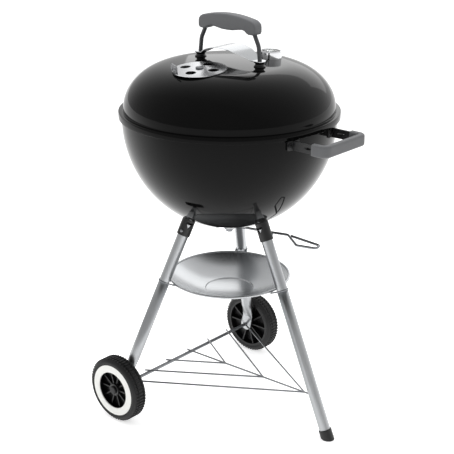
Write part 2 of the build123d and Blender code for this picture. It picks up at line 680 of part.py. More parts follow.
# ---- Ash sweep: bushing, shaft, blades, lever, nut -------------------------------------------
INSIDE_Z = BOWL_BOTTOM_Z + SHEET
BUSH_Z = BOWL_BOTTOM_Z - BUSH_FLANGE_T
NUT_Z = LEVER_Z - LEVER_HUB_T / 2 - NUT_H
SWEEP_HUB_Z = INSIDE_Z + SWEEP_LIFT
SWEEP_HUB_T = 5.0


def level(z):
    """Level plane on the kettle's axis."""
    return Plane((AXIS_X, 0, z))


with BuildPart() as sweep_bushing:
    with BuildSketch(level(BUSH_Z)):
        Circle(BUSH_FLANGE_R)
    extrude(amount=BUSH_FLANGE_T + SHEET)
    add(bowl_core.part, mode=Mode.SUBTRACT)
    with BuildSketch(level(BUSH_Z)):
        Circle(BUSH_R)
    extrude(amount=BUSH_FLANGE_T + SHEET + SWEEP_LIFT / 2)
    with BuildSketch(level(BUSH_Z)):
        Circle(SHAFT_R + FIT)
    extrude(amount=BUSH_R, mode=Mode.SUBTRACT)
save(sweep_bushing, "sweep_bushing")

with BuildPart() as sweep_shaft:
    with BuildSketch(level(NUT_Z)):
        Circle(SHAFT_R)
    extrude(amount=SWEEP_HUB_Z + SWEEP_HUB_T - NUT_Z)
    with BuildSketch(level(SWEEP_HUB_Z + SWEEP_HUB_T)):
        Circle(1.6 * SHAFT_R)
    extrude(amount=SHAFT_R / 2)
save(sweep_shaft, "sweep_shaft")

with BuildPart() as sweep_nut:
    with BuildSketch(level(NUT_Z)):
        RegularPolygon(NUT_FLATS / 2, 6, major_radius=False)
        Circle(SHAFT_R, mode=Mode.SUBTRACT)
    extrude(amount=NUT_H)
save(sweep_nut, "sweep_nut")


def blade_arc(inset):
    """Arc from the bowl's lowest point out to a blade's tip, inset from the bowl's outside."""
    wide = BOWL_R - inset
    arc = degrees(asin(SWEEP_REACH / wide))
    return EllipticalCenterArc((0, BOWL_WIDE_Z), wide, BOWL_DEPTH - inset, start_angle=270, arc_size=arc)


with BuildPart() as sweep_blades:
    under = SHEET + SWEEP_LIFT
    over = under + SWEEP_T
    tip_under = bowl_height(SWEEP_REACH, under)
    for step in range(3):
        with BuildSketch(upright(SWEEP_REST + 120 * step - SWEEP_ANGLE / 2)):
            with BuildLine():
                low = blade_arc(under)
                high = blade_arc(over)
                Line(low @ 1, high @ 1)
                Line(low @ 0, high @ 0)
            make_face()
        revolve(axis=SPIN, revolution_arc=SWEEP_ANGLE)
    with BuildSketch(level(SWEEP_HUB_Z)):
        Circle(SWEEP_HUB_R)
    extrude(amount=SWEEP_HUB_T)
    with BuildSketch(level(SWEEP_HUB_Z - 1)):
        Circle(SHAFT_R)
    extrude(amount=2 * SWEEP_HUB_T, mode=Mode.SUBTRACT)
save(sweep_blades, "sweep_blades")

with BuildPart() as ash_lever:
    with BuildSketch(level(LEVER_Z - LEVER_HUB_T / 2)):
        Circle(LEVER_HUB_R)
        Circle(SHAFT_R, mode=Mode.SUBTRACT)
    extrude(amount=LEVER_HUB_T)
    with BuildLine(level(LEVER_Z)) as lever_path:
        FilletPolyline(
            (8.0, 6.0), (30.0, 20.0), (92.0, 35.0), (130.0, 47.0), (184.0, 8.0), (228.0, 21.0), (222.0, 40.0),
            (140.0, 46.0),
            radius=(12, 20, 8, 9, 8, 6),
        )
    with BuildSketch(Plane(lever_path.line @ 0, z_dir=lever_path.line % 0)):
        Circle(LEVER_WIRE_R)
    sweep(transition=Transition.ROUND)
save(ash_lever, "ash_lever")

# ---- Grates ----------------------------------------------------------------------------------


def grate_handle(side, reach, mid_z, wire_r):
    """Upright looped handle welded on a grate's ring."""
    foot_y = GRATE_HANDLE_W / 2
    foot_x = side * sqrt(reach ** 2 - foot_y ** 2)
    plane = Plane((AXIS_X + foot_x, 0, mid_z), x_dir=(0, 1, 0), z_dir=(1, 0, 0))
    with BuildSketch(plane) as loop_face:
        with Locations((0, GRATE_HANDLE_H / 2)):
            RectangleRounded(2 * foot_y, GRATE_HANDLE_H, 8)
            RectangleRounded(2 * foot_y - 4 * wire_r, GRATE_HANDLE_H - 4 * wire_r, 5, mode=Mode.SUBTRACT)
    extrude(loop_face.sketch, amount=wire_r, both=True)


def grate(name, radius, z, ring_r, wire_r, pitch, handles):
    """Round grate of parallel rods on a ring and two cross rods, with wire handles if asked."""
    ring_at = radius - ring_r
    lay = 0.8 * wire_r         # the two layers of rods bite into each other where they are welded
    mid_z = z + lay + wire_r
    count = 2 * int(ring_at / pitch) + 1
    with BuildPart() as grid:
        with BuildSketch(Plane((AXIS_X, 0, mid_z + lay), x_dir=(1, 0, 0), z_dir=(0, -1, 0))):
            with GridLocations(pitch, 0, count, 1):
                Circle(wire_r)
        extrude(amount=radius, both=True)
        with BuildSketch(Plane((AXIS_X, 0, mid_z - lay), x_dir=(0, 1, 0), z_dir=(1, 0, 0))):
            with GridLocations(radius, 0, 2, 1):
                Circle(wire_r)
        extrude(amount=radius, both=True)
        with BuildSketch(level(z - wire_r)):
            Circle(ring_at)
        extrude(amount=6 * wire_r, mode=Mode.INTERSECT)
        with BuildSketch(upright(90)):
            with Locations((ring_at, mid_z)):
                Circle(ring_r)
        revolve(axis=SPIN)
        if handles:
            for side in (-1, 1):
                grate_handle(side, ring_at, mid_z, wire_r)
    save(grid, name)


grate("cooking_grate", GRATE_R, GRATE_Z, GRATE_RING_R, GRATE_WIRE_R, GRATE_PITCH, True)
grate("charcoal_grate", COAL_R, COAL_Z, COAL_WIRE_R, COAL_WIRE_R, COAL_PITCH, False)

# ---- Lid shell with its vents, handle holes and gauge hole -----------------------------------
damper_z = lid_height(hypot(DAMPER_AT, DAMPER_R)) + DAMPER_GAP
DAMPER = tilted(spot(DAMPER_AT, DAMPER_TURN, damper_z), DAMPER_TURN, DAMPER_TILT)
crown_slope = degrees(atan(2 * CROWN_RISE * GAUGE_AT / CROWN_R ** 2))
GAUGE = tilted(spot(GAUGE_AT, GAUGE_TURN, lid_height(GAUGE_AT)), GAUGE_TURN, crown_slope)

with BuildPart() as lid_shell:
    with BuildSketch(upright(SEAM_TURN)):
        with BuildLine():
            crown_top = lid_line(0)
            Polyline(
                (LID_R, LID_BASE_Z),
                (LID_R, FLANGE_Z + SHEET),
                (RIM_R, FLANGE_Z + SHEET),
                (RIM_R, SKIRT_Z),
                (RIM_R - SHEET, SKIRT_Z),
                (RIM_R - SHEET, FLANGE_Z),
                (LID_R - SHEET, FLANGE_Z),
                (LID_R - SHEET, LID_BASE_Z),
            )
            Line(lid_line(SHEET), crown_top)
        make_face()
    revolve(axis=SPIN)
    with BuildSketch(DAMPER):
        with PolarLocations(DAMPER_HOLE_AT, 4, start_angle=DAMPER_HOLES_FROM):
            Circle(DAMPER_HOLE_R)
        Circle(PIVOT_R)
    extrude(amount=-DAMPER_R / 2, mode=Mode.SUBTRACT)
    with BuildSketch(GAUGE):
        Circle(STEM_R)
    extrude(amount=GAUGE_H, both=True, mode=Mode.SUBTRACT)
    with BuildSketch(level(CROWN_EDGE_Z - KNUCKLE_B / 2)):
        with Locations((-HANDLE_FOOT, 0), (HANDLE_FOOT, 0)):
            Circle(ROD_R)
    extrude(amount=KNUCKLE_B, mode=Mode.SUBTRACT)
save(lid_shell, "lid_shell")

with BuildPart() as lid_hook:
    hook_top = lid_height(HOOK_R)
    with BuildLine(upright(180)) as hook_path:
        FilletPolyline(
            (HOOK_R, hook_top - HOOK_WIRE_R),
            (HOOK_R, hook_top - 26),
            (HOOK_R + 9, hook_top - 26),
            (HOOK_R + 12, hook_top - 17),
            radius=(4, 3),
        )
    with BuildSketch(Plane(hook_path.line @ 0, z_dir=hook_path.line % 0)):
        Circle(HOOK_WIRE_R)
    sweep()
    add(lid_shell.part, mode=Mode.SUBTRACT)
save(lid_hook, "lid_hook")

# ---- Lid handle: bent rod, grip, heat shield, spacers, nuts ----------------------------------


def rod_shape(radius):
    """Add the handle's rod, or a bore for it, to the open part."""
    foot_z = lid_height(HANDLE_FOOT) - SHEET - ROD_BELOW
    with BuildLine(upright(0)) as rod_path:
        FilletPolyline(
            (-HANDLE_FOOT, foot_z),
            (-HANDLE_FOOT, SHIELD_PAD_Z + 4),
            (-ROD_KNEE_X, ROD_KNEE_Z),
            (-ROD_TOP_X, ROD_TOP_Z),
            (ROD_TOP_X, ROD_TOP_Z),
            (ROD_KNEE_X, ROD_KNEE_Z),
            (HANDLE_FOOT, SHIELD_PAD_Z + 4),
            (HANDLE_FOOT, foot_z),
            radius=(20, 30, ROD_BEND, ROD_BEND, 30, 20),
        )
    with BuildSketch(Plane(rod_path.line @ 0, z_dir=(0, 0, 1))) as rod_end:
        Circle(radius)
    sweep(rod_end.sketch, path=rod_path.line)


with BuildPart() as lid_handle_rod:
    rod_shape(ROD_R)
save(lid_handle_rod, "lid_handle_rod")

with BuildPart() as rod_bore:
    rod_shape(ROD_R)

with BuildPart() as lid_handle_grip:
    with BuildSketch(upright(0)):
        with BuildLine():
            shoulder = (GRIP_HALF - 6, GRIP_SHOULDER_Z + 4)
            ThreePointArc((-shoulder[0], shoulder[1]), (0, GRIP_TOP_Z), shoulder)
            for side in (-1, 1):
                Spline((side * (GRIP_HALF - 6), GRIP_SHOULDER_Z + 4), (side * GRIP_HALF, GRIP_SHOULDER_Z - 5),
                       tangents=[(side * 1, -0.3), (0, -1)])
                Line((side * GRIP_HALF, GRIP_SHOULDER_Z - 5), (side * GRIP_HALF, GRIP_END_Z + 4))
                Polyline((side * GRIP_HALF, GRIP_END_Z + 4), (side * (GRIP_HALF - 4), GRIP_END_Z),
                         (side * (GRIP_HALF - 21), GRIP_END_Z))
                Spline((side * (GRIP_HALF - 21), GRIP_END_Z), (side * (GRIP_HALF - 36), GRIP_HOLLOW_Z),
                       (0, GRIP_BELLY_Z), tangents=[(-side * 1, 0.4), (-1 * side, 0)])
        make_face()
    extrude(amount=GRIP_DEPTH / 2, both=True)
    crest = lid_handle_grip.faces().filter_by(Axis.Y, reverse=True).sort_by(Axis.Z)[-1]
    fillet(crest.edges().filter_by(Axis.Y, reverse=True), GRIP_ROUND * 2)
    add(rod_bore.part, mode=Mode.SUBTRACT)
save(lid_handle_grip, "lid_handle_grip")

with BuildPart() as lid_heat_shield:
    with BuildSketch(upright(0)):
        with BuildLine() as shield_line:
            pad_mid = SHIELD_PAD_Z + SHIELD_T / 2
            Line((-SHIELD_END_X, pad_mid), (-SHIELD_KNEE_X, pad_mid))
            ThreePointArc((-SHIELD_KNEE_X, pad_mid), (0, SHIELD_CREST_Z), (SHIELD_KNEE_X, pad_mid))
            Line((SHIELD_KNEE_X, pad_mid), (SHIELD_END_X, pad_mid))
        trace(line_width=SHIELD_T)
    extrude(amount=SHIELD_W / 2, both=True)
    with BuildSketch(level(CROWN_Z)):
        half = SHIELD_END_W / 2
        with BuildLine():
            for side in (-1, 1):
                knee = side * SHIELD_KNEE_X
                toe = side * (SHIELD_END_X - half)
                ThreePointArc((-knee, side * half), (0, side * SHIELD_W / 2), (knee, side * half))
                Line((knee, -half), (toe, -half))
                Line((knee, half), (toe, half))
                ThreePointArc((toe, -half), (side * SHIELD_END_X, 0), (toe, half))
        make_face()
    extrude(amount=SHIELD_CREST_Z, mode=Mode.INTERSECT)
    add(rod_bore.part, mode=Mode.SUBTRACT)
save(lid_heat_shield, "lid_heat_shield")

for side, word in ((-1, "left"), (1, "right")):
    foot = Vector(AXIS_X + side * HANDLE_FOOT, 0, 0)
    with BuildPart() as spacer:
        low_z = lid_height(HANDLE_FOOT) - 1
        with BuildSketch(Plane(foot, x_dir=(1, 0, 0), z_dir=(0, -1, 0))):
            with BuildLine():
                Polyline((0, SHIELD_PAD_Z), (0, low_z), (SPACER_R, low_z), (SPACER_R, low_z + 3))
                ThreePointArc((SPACER_R, low_z + 3), (SPACER_WAIST, (low_z + 3 + SHIELD_PAD_Z - 2) / 2),
                              (SPACER_R, SHIELD_PAD_Z - 2))
                Polyline((SPACER_R, SHIELD_PAD_Z - 2), (SPACER_R, SHIELD_PAD_Z), (0, SHIELD_PAD_Z))
            make_face()
        revolve(axis=Axis(foot, (0, 0, 1)))
        add(lid_core.part, mode=Mode.SUBTRACT)
        add(rod_bore.part, mode=Mode.SUBTRACT)
    save(spacer, f"lid_handle_spacer_{word}")

with BuildPart() as lid_handle_nuts:
    for side in (-1, 1):
        with BuildSketch(level(lid_height(HANDLE_FOOT) - SHEET - NUT_H)):
            with Locations((side * HANDLE_FOOT, 0)):
                RegularPolygon(NUT_FLATS / 2, 6, major_radius=False)
        extrude(amount=NUT_H + SHEET / 2)
    add(lid_shell.part, mode=Mode.SUBTRACT)
    add(rod_bore.part, mode=Mode.SUBTRACT)
save(lid_handle_nuts, "lid_handle_nuts")

# ---- Lid damper ------------------------------------------------------------------------------
THUMB = DAMPER.rotated((0, 0, TAB_TURN - DAMPER_TURN))
EAR_AT = DAMPER_R - 4
with BuildPart() as damper_disc:
    with BuildSketch(Plane(DAMPER.origin, x_dir=DAMPER.x_dir, z_dir=-DAMPER.y_dir)):
        with BuildLine():
            half_way = (DAMPER_R / 2, DAMPER_DISH * 0.75)
            ThreePointArc((DAMPER_R, 0), half_way, (0, DAMPER_DISH))
            Line((0, DAMPER_DISH), (0, DAMPER_DISH + DAMPER_T))
            over_half = (DAMPER_R / 2, DAMPER_DISH * 0.75 + DAMPER_T)
            ThreePointArc((0, DAMPER_DISH + DAMPER_T), over_half, (DAMPER_R, DAMPER_T))
            Line((DAMPER_R, DAMPER_T), (DAMPER_R, 0))
        make_face()
    revolve(axis=Axis(DAMPER.origin, DAMPER.z_dir))
    with BuildSketch(DAMPER):
        with PolarLocations(DAMPER_HOLE_AT, 4, start_angle=DAMPER_HOLES_FROM):
            Circle(DAMPER_HOLE_R)
        Circle(PIVOT_R + FIT)
    extrude(amount=DAMPER_R, mode=Mode.SUBTRACT)
    ear = Plane(THUMB.from_local_coords((EAR_AT, 0, 0)), x_dir=THUMB.y_dir, z_dir=THUMB.x_dir)
    with BuildSketch(ear):
        with Locations((0, THUMB_H / 2)):
            RectangleRounded(THUMB_W - 4, THUMB_H - 2, 3)
        with Locations((0, 3)):
            Rectangle(THUMB_W - 4, 5)
    extrude(amount=-DAMPER_T)
    with BuildSketch(ear):
        with Locations((-TAB_RIVET_PITCH / 2, THUMB_H * 0.6), (TAB_RIVET_PITCH / 2, THUMB_H * 0.6)):
            Circle(TAB_RIVET_R)
    extrude(amount=THUMB_T, both=True, mode=Mode.SUBTRACT)
save(damper_disc, "damper_disc")

with BuildPart() as damper_tab:
    with BuildSketch(ear):
        with Locations((0, DAMPER_T + DAMPER_DISH + THUMB_H / 2)):
            RectangleRounded(THUMB_W, THUMB_H, 5)
        with Locations((-TAB_RIVET_PITCH / 2, THUMB_H * 0.6), (TAB_RIVET_PITCH / 2, THUMB_H * 0.6)):
            Circle(TAB_RIVET_R, mode=Mode.SUBTRACT)
    extrude(amount=THUMB_T)
save(damper_tab, "damper_tab")

with BuildPart() as damper_tab_rivets:
    for side in (-1, 1):
        with BuildSketch(Plane(ear.origin + ear.z_dir * THUMB_T, x_dir=ear.x_dir, z_dir=ear.z_dir)):
            with Locations((side * TAB_RIVET_PITCH / 2, THUMB_H * 0.6)):
                Circle(TAB_RIVET_HEAD_R)
        extrude(amount=1.2)
        with BuildSketch(Plane(ear.origin + ear.z_dir * THUMB_T, x_dir=ear.x_dir, z_dir=ear.z_dir)):
            with Locations((side * TAB_RIVET_PITCH / 2, THUMB_H * 0.6)):
                Circle(TAB_RIVET_R)
        extrude(amount=-THUMB_T - DAMPER_T - 0.8)
save(damper_tab_rivets, "damper_tab_rivets")

with BuildPart() as damper_pivot:
    head_z = DAMPER_DISH + DAMPER_T + SEAT_CLEARANCE
    with BuildSketch(Plane(DAMPER.from_local_coords((0, 0, head_z)), z_dir=DAMPER.z_dir)):
        Circle(PIVOT_HEAD_R)
    extrude(amount=2)
    with BuildSketch(Plane(DAMPER.from_local_coords((0, 0, head_z)), z_dir=DAMPER.z_dir)):
        Circle(PIVOT_R)
    extrude(amount=-head_z - 6)
    with BuildSketch(Plane(DAMPER.from_local_coords((0, 0, -6)), z_dir=DAMPER.z_dir)):
        Circle(PIVOT_HEAD_R)
    extrude(amount=4.5)
    add(lid_shell.part, mode=Mode.SUBTRACT)
save(damper_pivot, "damper_pivot")

# ---- Thermometer -----------------------------------------------------------------------------


def gauge_level(height):
    """Plane across the thermometer at a height above the lid."""
    return Plane(GAUGE.from_local_coords((0, 0, height)), x_dir=GAUGE.x_dir, z_dir=GAUGE.z_dir)


DIAL_Z = GAUGE_H - GAUGE_RECESS
LENS_Z = GAUGE_H - LENS_T - 0.5
NEEDLE_Z = DIAL_T + DIAL_Z + 1
with BuildPart() as gauge_bezel:
    with BuildSketch(gauge_level(0)):
        Circle(GAUGE_R)
    extrude(amount=GAUGE_H)
    fillet(gauge_bezel.faces().sort_by(Axis(GAUGE.origin, GAUGE.z_dir))[-1].edges(), 2)
    with BuildSketch(gauge_level(DIAL_Z)):
        Circle(GAUGE_R - GAUGE_RIM)
    extrude(amount=GAUGE_H, mode=Mode.SUBTRACT)
    with BuildSketch(gauge_level(-2)):
        Circle(STEM_R)
    extrude(amount=GAUGE_H, mode=Mode.SUBTRACT)
save(gauge_bezel, "thermometer_bezel")

with BuildPart() as gauge_dial:
    with BuildSketch(gauge_level(DIAL_Z)):
        Circle(GAUGE_R - GAUGE_RIM)
        Circle(1.0 + FIT, mode=Mode.SUBTRACT)
    extrude(amount=DIAL_T)
save(gauge_dial, "thermometer_dial")

with BuildPart() as gauge_needle:
    with BuildSketch(gauge_level(NEEDLE_Z)):
        Circle(2.5)
        with Locations((6, 0)):
            Rectangle(16, 1.4)
    extrude(amount=0.8)
    with BuildSketch(gauge_level(DIAL_Z + SEAT_CLEARANCE)):
        Circle(1.0)
    extrude(amount=NEEDLE_Z - DIAL_Z)
save(gauge_needle, "thermometer_needle")

with BuildPart() as gauge_lens:
    with BuildSketch(gauge_level(LENS_Z)):
        Circle(GAUGE_R - GAUGE_RIM)
    extrude(amount=LENS_T)
save(gauge_lens, "thermometer_lens")

with BuildPart() as gauge_stem:
    with BuildSketch(gauge_level(-STEM_BELOW)):
        Circle(STEM_R)
    extrude(amount=STEM_BELOW + DIAL_Z)
save(gauge_stem, "thermometer_stem")

with BuildPart() as gauge_nut:
    with BuildSketch(gauge_level(-SHEET - NUT_H)):
        RegularPolygon(NUT_FLATS / 2, 6, major_radius=False)
        Circle(STEM_R, mode=Mode.SUBTRACT)
    extrude(amount=NUT_H + SHEET / 2)
    add(lid_shell.part, mode=Mode.SUBTRACT)
save(gauge_nut, "thermometer_nut")
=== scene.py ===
"""Looks of a kettle charcoal grill: enamelled lid and bowl, alloy legs, wire rack, wheels and fittings."""
import logging
import math
from dataclasses import dataclass
from enum import Enum

import bmesh
import bpy
from mathutils import Matrix, Vector


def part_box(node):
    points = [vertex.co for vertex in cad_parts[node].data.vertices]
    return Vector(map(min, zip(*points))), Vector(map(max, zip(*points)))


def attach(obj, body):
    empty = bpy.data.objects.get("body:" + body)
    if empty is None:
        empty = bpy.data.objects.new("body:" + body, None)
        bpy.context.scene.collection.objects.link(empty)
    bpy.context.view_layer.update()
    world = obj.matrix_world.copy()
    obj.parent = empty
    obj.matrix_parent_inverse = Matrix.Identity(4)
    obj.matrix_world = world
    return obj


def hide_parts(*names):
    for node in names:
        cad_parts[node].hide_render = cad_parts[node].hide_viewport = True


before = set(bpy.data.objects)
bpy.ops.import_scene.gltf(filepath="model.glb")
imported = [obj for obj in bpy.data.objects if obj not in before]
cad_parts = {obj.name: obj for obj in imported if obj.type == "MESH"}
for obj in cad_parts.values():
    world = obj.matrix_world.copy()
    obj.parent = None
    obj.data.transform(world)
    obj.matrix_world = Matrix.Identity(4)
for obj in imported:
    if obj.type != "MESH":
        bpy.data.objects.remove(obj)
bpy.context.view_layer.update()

log = logging.getLogger("kettle")
logging.basicConfig(level=logging.INFO, format="%(message)s")

MM = 0.001
DRAWN_STRETCH = 0.02  # how far drawing marks are drawn out along a tube, as a share of their scale
BOWL_LOW, BOWL_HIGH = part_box("bowl_shell")
KETTLE_X = (BOWL_LOW[0] + BOWL_HIGH[0]) / 2


def linear(code: str) -> tuple[float, float, float, float]:
    """Turn an sRGB hex colour into linear values.

    Args:
        code: Six hex digits.

    Returns:
        Linear red, green, blue and full alpha.
    """
    parts = [int(code[i:i + 2], 16) / 255 for i in (0, 2, 4)]
    flat = [c / 12.92 if c <= 0.04045 else ((c + 0.055) / 1.055) ** 2.4 for c in parts]
    return (flat[0], flat[1], flat[2], 1.0)


def add(tree: bpy.types.NodeTree, kind: str, settings: dict | None = None,
        links: dict | None = None) -> bpy.types.Node:
    """Add one node with its settings and incoming links.

    Args:
        tree: Node tree to add to.
        kind: Node type name.
        settings: Socket names or indexes with values, or node property names with values.
        links: Socket names or indexes with the output sockets that feed them.

    Returns:
        The new node.
    """
    node = tree.nodes.new(kind)
    for key, value in (settings or {}).items():
        if isinstance(key, str) and hasattr(node, key):
            setattr(node, key, value)
        else:
            node.inputs[key].default_value = value
    for key, source in (links or {}).items():
        tree.links.new(source, node.inputs[key])
    return node


class Pattern(Enum):
    """How the fine structure of a surface runs."""

    EVEN = "same every way"
    DRAWN_Z = "lines along the height"
    DRAWN_Y = "lines along the axle"
    SPUN = "rings round a centre"


@dataclass(frozen=True)
class Finish:
    """One real surface: colour, gloss and the structure left by how it was made."""

    name: str
    colour: str
    roughness: float
    metallic: float = 0.0
    grain_mm: float = 1.0
    bump_mm: float = 0.01
    gloss_spread: float = 0.06
    shade: float = 0.85
    shade_mm: float = 60.0
    pattern: Pattern = Pattern.EVEN
    centre: tuple[float, float] = (KETTLE_X, 0.0)
    coat: float = 0.0
    ior: float = 1.5
    transmission: float = 0.0
    edge: float = 1.0

    def coordinates(self, tree: bpy.types.NodeTree) -> bpy.types.NodeSocket:
        """Return the coordinates that the fine pattern follows."""
        place = add(tree, "ShaderNodeTexCoord").outputs["Object"]
        drawn = {Pattern.DRAWN_Z: (1, 1, DRAWN_STRETCH), Pattern.DRAWN_Y: (1, DRAWN_STRETCH, 1)}
        stretch = drawn.get(self.pattern, (1, 1, 1))
        back = (-self.centre[0], -self.centre[1], 0)
        moved = add(tree, "ShaderNodeMapping", {"Location": back}, {"Vector": place})
        if self.pattern is Pattern.SPUN:
            split = add(tree, "ShaderNodeSeparateXYZ", links={0: moved.outputs[0]})
            flat = add(tree, "ShaderNodeCombineXYZ", links={0: split.outputs[0], 1: split.outputs[1]})
            radius = add(tree, "ShaderNodeVectorMath", {"operation": "LENGTH"}, {0: flat.outputs[0]})
            return add(tree, "ShaderNodeCombineXYZ", links={0: radius.outputs["Value"]}).outputs[0]
        return add(tree, "ShaderNodeMapping", {"Scale": stretch}, {"Vector": moved.outputs[0]}).outputs[0]

    def material(self) -> bpy.types.Material:
        """Build the procedural material, once per finish."""
        known = bpy.data.materials.get(self.name)
        if known:
            return known
        made = bpy.data.materials.new(self.name)
        made.use_nodes = True
        tree = made.node_tree
        tree.nodes.clear()
        grain = {"Scale": 1 / (self.grain_mm * MM), "Detail": 4.0, "Roughness": 0.6}
        fine = add(tree, "ShaderNodeTexNoise", grain, {"Vector": self.coordinates(tree)})
        place = add(tree, "ShaderNodeTexCoord").outputs["Object"]
        patches = {"Scale": 1 / (self.shade_mm * MM), "Detail": 3.0}
        broad = add(tree, "ShaderNodeTexNoise", patches, {"Vector": place})
        gloss = add(tree, "ShaderNodeMapRange", {"To Min": max(0.02, self.roughness - self.gloss_spread),
                    "To Max": self.roughness + self.gloss_spread}, {"Value": fine.outputs[0]})
        deep = tuple(c * self.shade for c in linear(self.colour)[:3]) + (1.0,)
        tone = add(tree, "ShaderNodeMix", {"data_type": "RGBA", 6: deep, 7: linear(self.colour)},
                   {0: broad.outputs[0]})
        relief = add(tree, "ShaderNodeBump", {"Strength": 1.0, "Distance": self.bump_mm * MM},
                     {"Height": fine.outputs[0]})
        shader = add(tree, "ShaderNodeBsdfPrincipled",
                     {"Metallic": self.metallic, "Coat Weight": self.coat, "Coat Roughness": 0.05,
                      "Transmission Weight": self.transmission, "IOR": self.ior,
                      "Specular Tint": (self.edge, self.edge, self.edge, 1.0)},
                     {"Base Color": tone.outputs[2], "Roughness": gloss.outputs[0],
                      "Normal": relief.outputs[0]})
        add(tree, "ShaderNodeOutputMaterial", links={"Surface": shader.outputs[0]})
        return made


# Porcelain enamel fired on steel: deep black glass with a faint ripple.
ENAMEL = Finish("porcelain_enamel", "070707", 0.06, grain_mm=14, bump_mm=0.015, gloss_spread=0.02,
                shade=0.8, ior=1.28, edge=0.55)
# Drawn alloy tube: satin, with fine lines along the leg.
ALLOY_TUBE = Finish("drawn_alloy_tube", "B6B8BA", 0.34, 1.0, 1.2, 0.01, 0.06, 0.9, 40, Pattern.DRAWN_Z)
# Spun alloy sheet: satin, with turning rings round the middle.
SPUN_SHEET = Finish("spun_alloy_sheet", "C4C6C8", 0.22, 1.0, 1.1, 0.004, 0.05, 0.86, 50, Pattern.SPUN)
# Damper sheet: bright rolled alloy with light scuffs.
BRIGHT_SHEET = Finish("bright_alloy_sheet", "D0D1D3", 0.22, 1.0, 0.9, 0.008, 0.06, 0.9, 18)
# Zinc plate on drawn wire: bright with a slight bloom.
PLATED_WIRE = Finish("zinc_plated_wire", "96989B", 0.30, 1.0, 1.4, 0.01, 0.07, 0.82, 25)
# Nickel plate on the thick grate rods.
NICKEL_ROD = Finish("nickel_plated_rod", "B9B8B4", 0.26, 1.0, 1.4, 0.01, 0.06, 0.8, 30)
# Blackened steel screws and push-on axle caps.
BLACK_STEEL = Finish("blackened_steel", "1A1A1B", 0.34, 0.4, 0.8, 0.01, 0.06, 0.85, 8)
# Polished stainless shield: rolled, nearly a mirror.
SHIELD_STEEL = Finish("polished_shield_steel", "C0C2C4", 0.14, 1.0, 1.0, 0.006, 0.04, 0.92, 30,
                      Pattern.DRAWN_Y)
# Grey powder-coated handle rod.
COATED_ROD = Finish("grey_coated_rod", "4A4B4D", 0.42, 0.3, 0.8, 0.01, 0.06, 0.85, 20)
# Glass-filled nylon: matte grey with a fine spark-eroded grain.
NYLON_GRIP = Finish("glass_filled_nylon", "606163", 0.55, 0.0, 0.7, 0.05, 0.07, 0.88, 25)
# Black moulded nylon of hubs and caps.
NYLON_BLACK = Finish("black_moulded_nylon", "0C0C0D", 0.42, 0.0, 0.9, 0.03, 0.08, 0.8, 22)
# Black stove paint on pressed steel brackets and sockets.
STOVE_PAINT = Finish("black_stove_paint", "111112", 0.36, 0.0, 1.2, 0.03, 0.07, 0.8, 20)
# Blow-moulded tyre plastic, dull.
TYRE_BLACK = Finish("moulded_tyre", "0D0D0E", 0.62, 0.0, 0.9, 0.06, 0.08, 0.8, 15)
# White moulded ring, semi-gloss.
RING_WHITE = Finish("white_moulded_ring", "E9E9E5", 0.35, 0.0, 1.5, 0.015, 0.05, 0.94, 20)
# Chrome plate on the gauge's pressed rim.
CHROME = Finish("chrome_plate", "E6E7E9", 0.08, 1.0, 2.0, 0.004, 0.02, 0.95, 12)
# Off-white paint on the gauge's dial.
DIAL = Finish("dial_paint", "E6E4DC", 0.45, 0.0, 1.0, 0.01, 0.05, 0.95, 10)
# Red paint on the needle.
NEEDLE = Finish("needle_paint", "A01E14", 0.4, 0.0, 0.8, 0.01, 0.04, 0.9, 6)
# Clear cover glass.
LENS = Finish("cover_glass", "F4F7F8", 0.03, 0.0, 8.0, 0.001, 0.005, 0.98, 20, ior=1.45, transmission=1.0)
# Grey moulded thumb tab.
TAB_GREY = Finish("grey_moulded_tab", "7C7D7F", 0.5, 0.0, 0.8, 0.03, 0.06, 0.88, 10)
# Smooth pale floor sheet.
PLAIN_FLOOR = Finish("pale_floor", "F8F8F8", 0.6, 0.0, 3.0, 0.01, 0.05, 0.99, 300)


class Builder:
    """Makes a finished piece from a bmesh or from a CAD node."""

    def finish(self, name: str, work: bmesh.types.BMesh, look: Finish, body: str, slot: str,
               nodes: tuple[str, ...], smooth_deg: float = 35.0) -> bpy.types.Object:
        """Turn a bmesh into a piece that rides on a body.

        Args:
            name: Piece name.
            work: Mesh in metres, in place. It is freed.
            look: Its finish.
            body: CAD body that it rides on.
            slot: Not used.
            nodes: CAD nodes that it stands for.
            smooth_deg: Edges sharper than this stay crisp.

        Returns:
            The new object.
        """
        mesh = bpy.data.meshes.new(name)
        work.to_mesh(mesh)
        work.free()
        mesh.shade_smooth()
        mesh.set_sharp_from_angle(angle=math.radians(smooth_deg))
        piece = bpy.data.objects.new(name, mesh)
        bpy.context.collection.objects.link(piece)
        mesh.materials.append(look.material())
        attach(piece, body)
        if nodes:
            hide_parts(*nodes)
        log.info("%s on %s: %d faces", name, body, len(mesh.polygons))
        return piece

    def soften(self, node: str, look: Finish, body: str, slot: str, bevel_mm: float = 0.0,
               smooth_deg: float = 35.0) -> bpy.types.Object:
        """Stand a welded, smooth copy of a CAD node in its place, with rounded edges if asked."""
        work = bmesh.new()
        work.from_mesh(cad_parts[node].data)
        bmesh.ops.remove_doubles(work, verts=work.verts, dist=0.00001)
        if bevel_mm:
            bmesh.ops.dissolve_limit(work, angle_limit=math.radians(1.0), verts=work.verts,
                                     edges=work.edges)
        piece = self.finish(f"{node}_finished", work, look, body, slot, (node,), smooth_deg)
        if bevel_mm:
            bevel = piece.modifiers.new("soft_edges", "BEVEL")
            bevel.width = bevel_mm * MM
            bevel.segments = 3
            bevel.limit_method = "ANGLE"
            bevel.angle_limit = math.radians(40)
            bevel.harden_normals = False
        return piece


